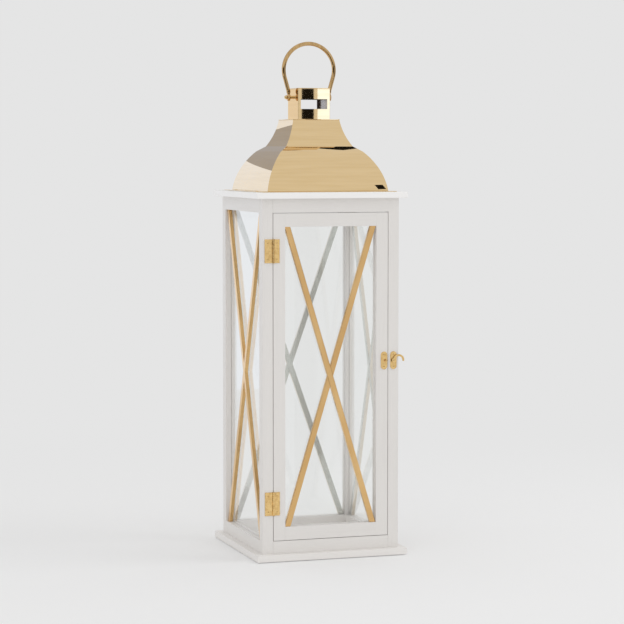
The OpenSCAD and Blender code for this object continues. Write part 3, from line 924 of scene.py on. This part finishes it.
@dataclass
class BailHandle:
    """A round rod bent to a bow, its ends flattened to eyes on two pins."""

    rod_r: float = 0.00285
    bow_r: float = 0.0367
    bow_rise: float = 0.0379
    tuck: float = math.radians(16)
    bend_r: float = 0.012
    eye_x: float = 0.0299
    eye_r: float = 0.005
    eye_t: float = 0.0035
    hole_r: float = 0.00155
    eye_round: float = 0.0006
    neck_w: float = 0.00456
    neck_h: float = 0.0042
    crisp: float = 35.0
    rim: int = 32
    bow_steps: int = 120
    bend_steps: int = 16
    eye_steps: int = 48
    fillet_steps: int = 4

    def build(self) -> None:
        """Builds the bail and dresses its pins."""
        # The rod's gold and its deep tone are painted darker than the roof's: painted shade standing in for the dark
        # reflections along the rod.
        rod = PolishedSheet(
            "gold_rod", gold=(0.68, 0.44, 0.18), deep=(0.44, 0.26, 0.09), waves=60.0, wave_depth=0.00002,
            streaks=420.0, streak_depth=0.000002, squeeze=(1.0, 1.0, 0.15),
        ).make()
        work = bmesh.new()
        self.rod(work)
        for side in (-1, 1):
            self.eye(work, side)
        bmesh.ops.recalc_face_normals(work, faces=work.faces[:])
        shade(work, self.crisp)
        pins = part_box("handle_pins")
        bmesh.ops.translate(work, verts=work.verts[:], vec=(0, 0, (pins[0].z + pins[1].z) / 2))
        stand_in("gold_bail", settle(work, "bail"), rod, "handle_bail")
        dress("handle_pins", StampedBrass("pin_brass", brass=(0.9, 0.67, 0.35), tarnish=(0.62, 0.42, 0.18)).make())

    def half_path(self) -> list[tuple[float, float, float]]:
        """Draws the right half of the rod's middle line.

        Returns:
            x, z and how far the rod is flattened, for each point from the eye up.
        """
        sin, cos = math.sin(self.tuck), math.cos(self.tuck)
        tuck_x, tuck_z = self.bow_r * cos, self.bow_rise - self.bow_r * sin
        bend_x = self.eye_x + self.bend_r * (1 - cos)
        straight = (tuck_x - bend_x) / sin
        leg_z = tuck_z - straight * cos - self.bend_r * sin
        low = self.eye_r * 0.4
        legs = [low + (leg_z - low) * i / self.bend_steps for i in range(self.bend_steps)]
        flat = [min(1.0, max(0.0, (leg_z - z) / self.neck_h)) for z in legs]
        points = [(self.eye_x, z, f * f * (3 - 2 * f)) for z, f in zip(legs, flat)]
        for i in range(self.bend_steps + 1):
            turn = math.pi - self.tuck * i / self.bend_steps
            bend_at = self.eye_x + self.bend_r * (1 + math.cos(turn))
            points.append((bend_at, leg_z + self.bend_r * math.sin(turn), 0.0))
        half = self.bow_steps // 2
        for i in range(half + 1):
            turn = -self.tuck + (math.pi / 2 + self.tuck) * i / half
            points.append((self.bow_r * math.cos(turn), self.bow_rise + self.bow_r * math.sin(turn), 0.0))
        return points

    def rod(self, work: BMesh) -> None:
        """Lofts the rod from eye to eye.

        Args:
            work: The mesh that the rod is added to.
        """
        right = self.half_path()
        line = right + [(-x, z, f) for x, z, f in right[-2::-1]]
        rings = []
        for i, (x, z, flat) in enumerate(line):
            before, after = line[max(i - 1, 0)], line[min(i + 1, len(line) - 1)]
            along = Vector((after[0] - before[0], 0, after[1] - before[1])).normalized()
            out = Vector((along.z, 0, -along.x))
            thick = self.rod_r + (self.eye_t / 2 - self.rod_r) * flat
            wide = self.rod_r + (self.neck_w / 2 - self.rod_r) * flat
            ring = []
            for k in range(self.rim):
                turn = 2 * math.pi * k / self.rim
                level = Vector((x, 0, z)) + out * thick * math.cos(turn)
                ring.append(work.verts.new(level + Vector((0, wide * math.sin(turn), 0))))
            rings.append(ring)
        for first, second in zip(rings, rings[1:]):
            for k in range(self.rim):
                work.faces.new((first[k], first[k - 1], second[k - 1], second[k]))
        work.faces.new(rings[0])
        work.faces.new(rings[-1][::-1])

    def eye(self, work: BMesh, side: int) -> None:
        """Turns one flattened eye with rounded rims about the pin's axis.

        Args:
            work: The mesh that the eye is added to.
            side: -1 for the left eye, 1 for the right.
        """
        half, r = self.eye_t / 2, self.eye_round
        corners = [(self.eye_r, half), (self.eye_r, -half), (self.hole_r, -half), (self.hole_r, half)]
        middle = (self.eye_r + self.hole_r) / 2
        section = []
        for (radius, across), start in zip(corners, (math.pi / 2, 0.0, -math.pi / 2, math.pi)):
            inner = (radius - math.copysign(r, radius - middle), across - math.copysign(r, across))
            for i in range(self.fillet_steps + 1):
                turn = start - math.pi / 2 * i / self.fillet_steps
                section.append((inner[0] + r * math.cos(turn), inner[1] + r * math.sin(turn)))
        rings = []
        for k in range(self.eye_steps):
            turn = 2 * math.pi * k / self.eye_steps
            rings.append([
                work.verts.new((side * self.eye_x + across, radius * math.sin(turn), radius * math.cos(turn)))
                for radius, across in section
            ])
        for k in range(self.eye_steps):
            first, second = rings[k - 1], rings[k]
            for i in range(len(section)):
                work.faces.new((first[i - 1], first[i], second[i], second[i - 1]))


# Hardware


@dataclass
class Screws:
    """Domed cross-slot screws, set where the CAD has them, each turned its own way."""

    name: str
    nodes: tuple[str, ...]
    aim: tuple[float, float, float]
    head_r: float
    head_h: float
    shank_r: float
    shank_l: float
    seed: int = 7
    slot_l: float = 1.1
    slot_w: float = 0.28
    crisp: float = 32.0

    def build(self, finish: Material) -> None:
        """Builds the screws of each node as one piece.

        Args:
            finish: The screws' material.
        """
        for node in self.nodes:
            work = bmesh.new()
            work.from_mesh(self.tree(finish).grow(self.seats(node)))
            shade(work, self.crisp)
            stand_in(f"{self.name}_{node}", settle(work, node), finish, node)

    def seats(self, node: str) -> Mesh:
        """Marks where the screws sit.

        Args:
            node: The screws' CAD node.

        Returns:
            A mesh with one point under each screw's head.
        """
        down = Vector(self.aim)
        points = []
        for low, high in solids_of(node):
            middle = (low + high) / 2
            reach = Vector((abs(c) for c in down)).dot(high - low) / 2
            points.append(middle + down * (reach - self.head_h * MM))
        mesh = bpy.data.meshes.new(node)
        mesh.from_pydata([tuple(p) for p in points], [], [])
        return mesh

    def tree(self, finish: Material) -> Tree:
        """Models one screw in millimetres and sets it on every point.

        Args:
            finish: The screws' material.

        Returns:
            The finished tree.
        """
        tree = Tree("cross_slot_screws", {
            "Head Radius": ("NodeSocketFloat", self.head_r),
            "Head Height": ("NodeSocketFloat", self.head_h),
            "Shank Radius": ("NodeSocketFloat", self.shank_r),
            "Shank Length": ("NodeSocketFloat", self.shank_l),
            "Aim": ("NodeSocketVector", tuple(Vector((0, 0, 1)).rotation_difference(Vector(self.aim)).to_euler())),
            "Seed": ("NodeSocketInt", self.seed),
            "Finish": ("NodeSocketMaterial", finish),
        })
        r, h, shank, length = (tree.source[k] for k in ("Head Radius", "Head Height", "Shank Radius", "Shank Length"))
        squares = tree.maths("ADD", tree.maths("MULTIPLY", r, r), tree.maths("MULTIPLY", h, h))
        ball = tree.maths("DIVIDE", squares, tree.maths("MULTIPLY", h, 2.0))
        sphere = tree.add("GeometryNodeMeshUVSphere", {"Segments": 40, "Rings": 64, "Radius": ball}).outputs[0]
        sphere = self.moved(tree, sphere, tree.maths("SUBTRACT", h, ball))
        inside = tree.maths("MULTIPLY", r, 0.999)
        drum = tree.add("GeometryNodeMeshCylinder", {"Vertices": 40, "Radius": inside, "Depth": h}).outputs[0]
        drum = self.moved(tree, drum, tree.maths("MULTIPLY", h, 0.5))
        dome = self.cut(tree, "INTERSECT", {"Mesh 2": [sphere, drum]})
        long, thin = tree.maths("MULTIPLY", r, self.slot_l), tree.maths("MULTIPLY", r, self.slot_w)
        cuts = [
            self.moved(tree, tree.add("GeometryNodeMeshCube", {"Size": tree.vector(x, y, h)}).outputs[0], h)
            for x, y in ((long, thin), (thin, long))
        ]
        head = self.cut(tree, "DIFFERENCE", {"Mesh 1": dome, "Mesh 2": cuts})
        rod = tree.add("GeometryNodeMeshCylinder", {"Vertices": 20, "Radius": shank, "Depth": length}).outputs[0]
        rod = self.moved(tree, rod, tree.maths("MULTIPLY", length, -0.4999))
        whole = tree.add("GeometryNodeJoinGeometry", {0: [head, rod]}).outputs[0]
        spin = tree.add("FunctionNodeRandomValue", {"Max": 1.5, "Seed": tree.source["Seed"]}, data_type="FLOAT")
        own = tree.add("FunctionNodeRotateRotation", {
            "Rotation": tree.add("FunctionNodeEulerToRotation", {0: tree.source["Aim"]}).outputs[0],
            "Rotate By": tree.add("FunctionNodeEulerToRotation", {0: tree.vector(z=spin.outputs[1])}).outputs[0],
        }, rotation_space="LOCAL").outputs[0]
        spots = tree.add("GeometryNodeMeshToPoints", {"Mesh": tree.source["Geometry"]}).outputs[0]
        tree.close(tree.add("GeometryNodeInstanceOnPoints", {
            "Points": spots, "Instance": whole, "Rotation": own, "Scale": (MM, MM, MM),
        }).outputs[0])
        return tree

    @staticmethod
    def cut(tree: Tree, operation: str, feeds: dict[str | int, object]) -> Socket:
        """The mesh that an exact Boolean leaves."""
        return tree.add("GeometryNodeMeshBoolean", feeds, operation=operation, solver="EXACT").outputs[0]

    @staticmethod
    def moved(tree: Tree, shape: Socket, up: object) -> Socket:
        """Moves a shape up its own axis."""
        return tree.add("GeometryNodeTransform", {"Geometry": shape, "Translation": tree.vector(z=up)}).outputs[0]


@dataclass
class Hardware:
    """The hinges, the latch and every screw."""

    edge_round: float = 0.00018
    shortest_edge: float = 0.004
    crisp: float = 25.0

    def build(self) -> None:
        """Builds and dresses the small metal pieces."""
        brass = StampedBrass().make()
        steel = ZincSteel().make()
        for node, slot in SLOT_OF.items():
            if slot == "small_brass" and not node.endswith("screws"):
                if "leaf" in node or "plate" in node or node == "latch_hook":
                    self.stamped(node, brass)
                else:
                    dress(node, brass)
        front, up = (0.0, -1.0, 0.0), (0.0, 0.0, 1.0)
        small = ("hinge_post_screws", "hinge_door_screws", "latch_post_screws", "latch_door_screws")
        Screws("brass", small, front, head_r=1.5, head_h=0.6, shank_r=0.8, shank_l=7.0).build(brass)
        Screws("brass", ("roof_screws",), up, head_r=2.2, head_h=0.6, shank_r=1.2, shank_l=6.5, seed=11).build(brass)
        for node in ("base_screws", "top_screws"):
            dress(node, steel)
        dress("foot_pads", PressedFelt().make())

    def stamped(self, node: str, brass: Material) -> None:
        """Makes one stamped piece with its edges rounded.

        Args:
            node: The piece's CAD node.
            brass: Its finish.
        """
        work = merged(node)
        ease(work, self.edge_round, sharp_edge(self.shortest_edge))
        shade(work, self.crisp)
        stand_in(f"brass_{node}", settle(work, node), brass, node)


# Studio


@dataclass(frozen=True)
class Card:
    """A flat card that only shows in polished metal: middle, size, the point it faces, and brightness."""

    name: str
    middle: tuple[float, float, float]
    width: float
    height: float
    facing: tuple[float, float, float]
    glow: Colour

    def hang(self) -> None:
        """Builds the card and hides it from camera, diffuse, shadow and transmission rays."""
        w, h = self.width / 2, self.height / 2
        mesh = bpy.data.meshes.new(self.name)
        mesh.from_pydata([(-w, -h, 0), (w, -h, 0), (w, h, 0), (-w, h, 0)], [], [(0, 1, 2, 3)])
        turn = (Vector(self.facing) - Vector(self.middle)).to_track_quat("Z", "Y").to_matrix().to_4x4()
        mesh.transform(Matrix.Translation(self.middle) @ turn)
        card = bpy.data.objects.new(self.name, mesh)
        bpy.context.scene.collection.objects.link(card)
        mesh.materials.append(glowing(self.name, self.glow))
        card.visible_camera = card.visible_diffuse = card.visible_shadow = card.visible_transmission = False


def glowing(name: str, colour: Colour) -> Material:
    """Makes a plain emitting material for a studio card.

    Args:
        name: The material's name.
        colour: What the card sends out.

    Returns:
        The material.
    """
    bench = Bench(name)
    light = bench.add("ShaderNodeEmission", {"Color": (*colour, 1.0), "Strength": 1.0})
    bench.add("ShaderNodeOutputMaterial", {"Surface": light.outputs[0]})
    return bench.material


@dataclass
class Studio:
    """A pale endless floor, soft light all round, and the camera."""

    backdrop: float = 0.783
    floor_albedo: float = 0.93
    floor_lift: float = 0.15
    near: float = 0.45
    far: float = 1.5
    floor_half: float = 60.0
    camera_at: tuple[float, float, float] = (-0.9669, -2.976, 0.5649)
    camera_turn: tuple[float, float, float] = (math.radians(85.752), 0.0, math.radians(-18.079))
    lens: float = 128.758

    def build(self) -> None:
        """Builds floor, lights, cards and camera."""
        scene = bpy.context.scene
        scene.view_settings.view_transform = "Standard"
        scene.view_settings.look = "None"
        world = bpy.data.worlds.new("studio")
        world.use_nodes = True
        back = world.node_tree.nodes["Background"]
        back.inputs["Color"].default_value = (self.backdrop, self.backdrop, self.backdrop, 1.0)
        scene.world = world
        self.floor()
        self.lamp("key", place=(1.9, -0.9, 2.1), size=1.4, power=9.5)
        self.lamp("fill", place=(-1.3, -2.2, 1.2), size=1.6, power=5.5)
        self.cards()
        self.camera()

    def floor(self) -> None:
        """A pale floor that fades into the backdrop away from the lantern."""
        half = self.floor_half
        mesh = bpy.data.meshes.new("floor")
        mesh.from_pydata([(-half, -half, 0), (half, -half, 0), (half, half, 0), (-half, half, 0)], [], [(0, 1, 2, 3)])
        floor = bpy.data.objects.new("floor", mesh)
        bpy.context.scene.collection.objects.link(floor)
        bench = Bench("studio_floor")
        pale = self.floor_albedo
        matt = bench.add("ShaderNodeBsdfDiffuse", {"Color": (pale, pale, pale, 1.0)})
        glow = bench.add("ShaderNodeEmission", {"Color": (self.backdrop,) * 3 + (1.0,)})
        reach = bench.add("ShaderNodeVectorMath", {0: bench.place}, operation="LENGTH").outputs["Value"]
        fade = bench.add("ShaderNodeMapRange", {
            "Value": reach, "From Min": self.near, "From Max": self.far, "To Min": 0.0, "To Max": 1.0,
        }, interpolation_type="SMOOTHSTEP").outputs["Result"]
        soft = bench.add("ShaderNodeMixShader", {0: self.floor_lift, 1: matt.outputs[0], 2: glow.outputs[0]})
        mixed = bench.add("ShaderNodeMixShader", {0: fade, 1: soft.outputs[0], 2: glow.outputs[0]})
        bench.add("ShaderNodeOutputMaterial", {"Surface": mixed.outputs[0]})
        mesh.materials.append(bench.material)

    @staticmethod
    def lamp(name: str, place: tuple[float, float, float], size: float, power: float) -> None:
        """Hangs a square soft lamp aimed at the middle of the lantern.

        Args:
            name: The lamp's name.
            place: Where it hangs.
            size: Length of its sides.
            power: What it gives, in watts.
        """
        data = bpy.data.lights.new(name, "AREA")
        data.shape, data.size, data.energy = "SQUARE", size, power
        lamp = bpy.data.objects.new(name, data)
        lamp.visible_glossy = lamp.visible_transmission = False
        bpy.context.scene.collection.objects.link(lamp)
        lamp.location = place
        aim = Vector((0, 0, 0.3)) - Vector(place)
        lamp.rotation_euler = aim.to_track_quat("-Z", "Y").to_euler()

    @staticmethod
    def cards() -> None:
        """Flags and bounce cards that give the polished metal its dark and bright bands."""
        black, brown, grey = (0.012, 0.011, 0.01), (0.06, 0.05, 0.04), (0.42, 0.41, 0.42)
        chimney, middle = (0.0, -0.02, 0.62), (0.0, 0.0, 0.56)
        for card in (
            Card("flag_slim", (0.2502, -0.823, 0.636), 0.0213, 0.064, chimney, black),
            Card("bounce_slim", (0.283, -0.823, 0.636), 0.028, 0.064, chimney, (1.3, 1.6, 2.2)),
            Card("flag_corner", (0.179, -0.352, 0.615), 0.012, 0.045, (0.08, -0.087, 0.512), black),
            Card("flag_camera", (-1.75, -2.8, 0.7), 5.4, 0.8, (0.0, 0.0, 0.65), brown),
            Card("flag_right", (2.6, -1.75, 0.7), 2.6, 0.8, (0.0, 0.0, 0.65), brown),
            Card("flag_low", (-1.25, -1.95, 0.012), 2.4, 2.4, (-1.25, -1.95, 1.0), brown),
            Card("flag_high", (0.46, 0.44, 1.5), 0.07, 0.3, (0.03, -0.05, 0.56), black),
            Card("wall_grey", (-0.115, 0.65, 0.903), 0.46, 0.4, (-0.115, 0.0, 0.903), grey),
            Card("bounce_tan", (-0.404, 1.2, 0.6475), 0.05, 0.07, (-0.404, 0.0, 0.6475), (0.88, 0.8, 0.68)),
            Card("bounce_step", (-0.235, 0.5, 0.56), 0.18, 0.08, (-0.235, 0.0, 0.56), (0.93, 0.98, 1.09)),
            Card("bounce_low", (-0.45, 1.55, 0.5), 0.9, 0.9, (-0.45, 0.0, 0.5), (0.93, 0.98, 1.09)),
        ):
            card.hang()

    def camera(self) -> None:
        """The camera, level with the lantern's upper half."""
        data = bpy.data.cameras.new("camera")
        data.lens, data.sensor_width = self.lens, 36.0
        data.clip_start, data.clip_end = 0.1, 200.0
        camera = bpy.data.objects.new("camera", data)
        camera.location, camera.rotation_euler = self.camera_at, self.camera_turn
        bpy.context.scene.collection.objects.link(camera)
        bpy.context.scene.camera = camera


def corners(box: Iterable[Vector]) -> list[list[float]]:
    """A box as plain lists of numbers."""
    return [[float(c) for c in corner] for corner in box]


def main() -> None:
    """Builds the lantern's looks in order."""
    logging.basicConfig(level=logging.INFO, format="%(name)s %(message)s")
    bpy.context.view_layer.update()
    Timberwork().build()
    Glazing().build()
    gold = PolishedSheet(inside=(0.32, 0.27, 0.23)).make()
    Roof().build(gold)
    Chimney().build(gold)
    BailHandle().build()
    Hardware().build()
    Studio().build()


if __name__ == "__main__":
    main()
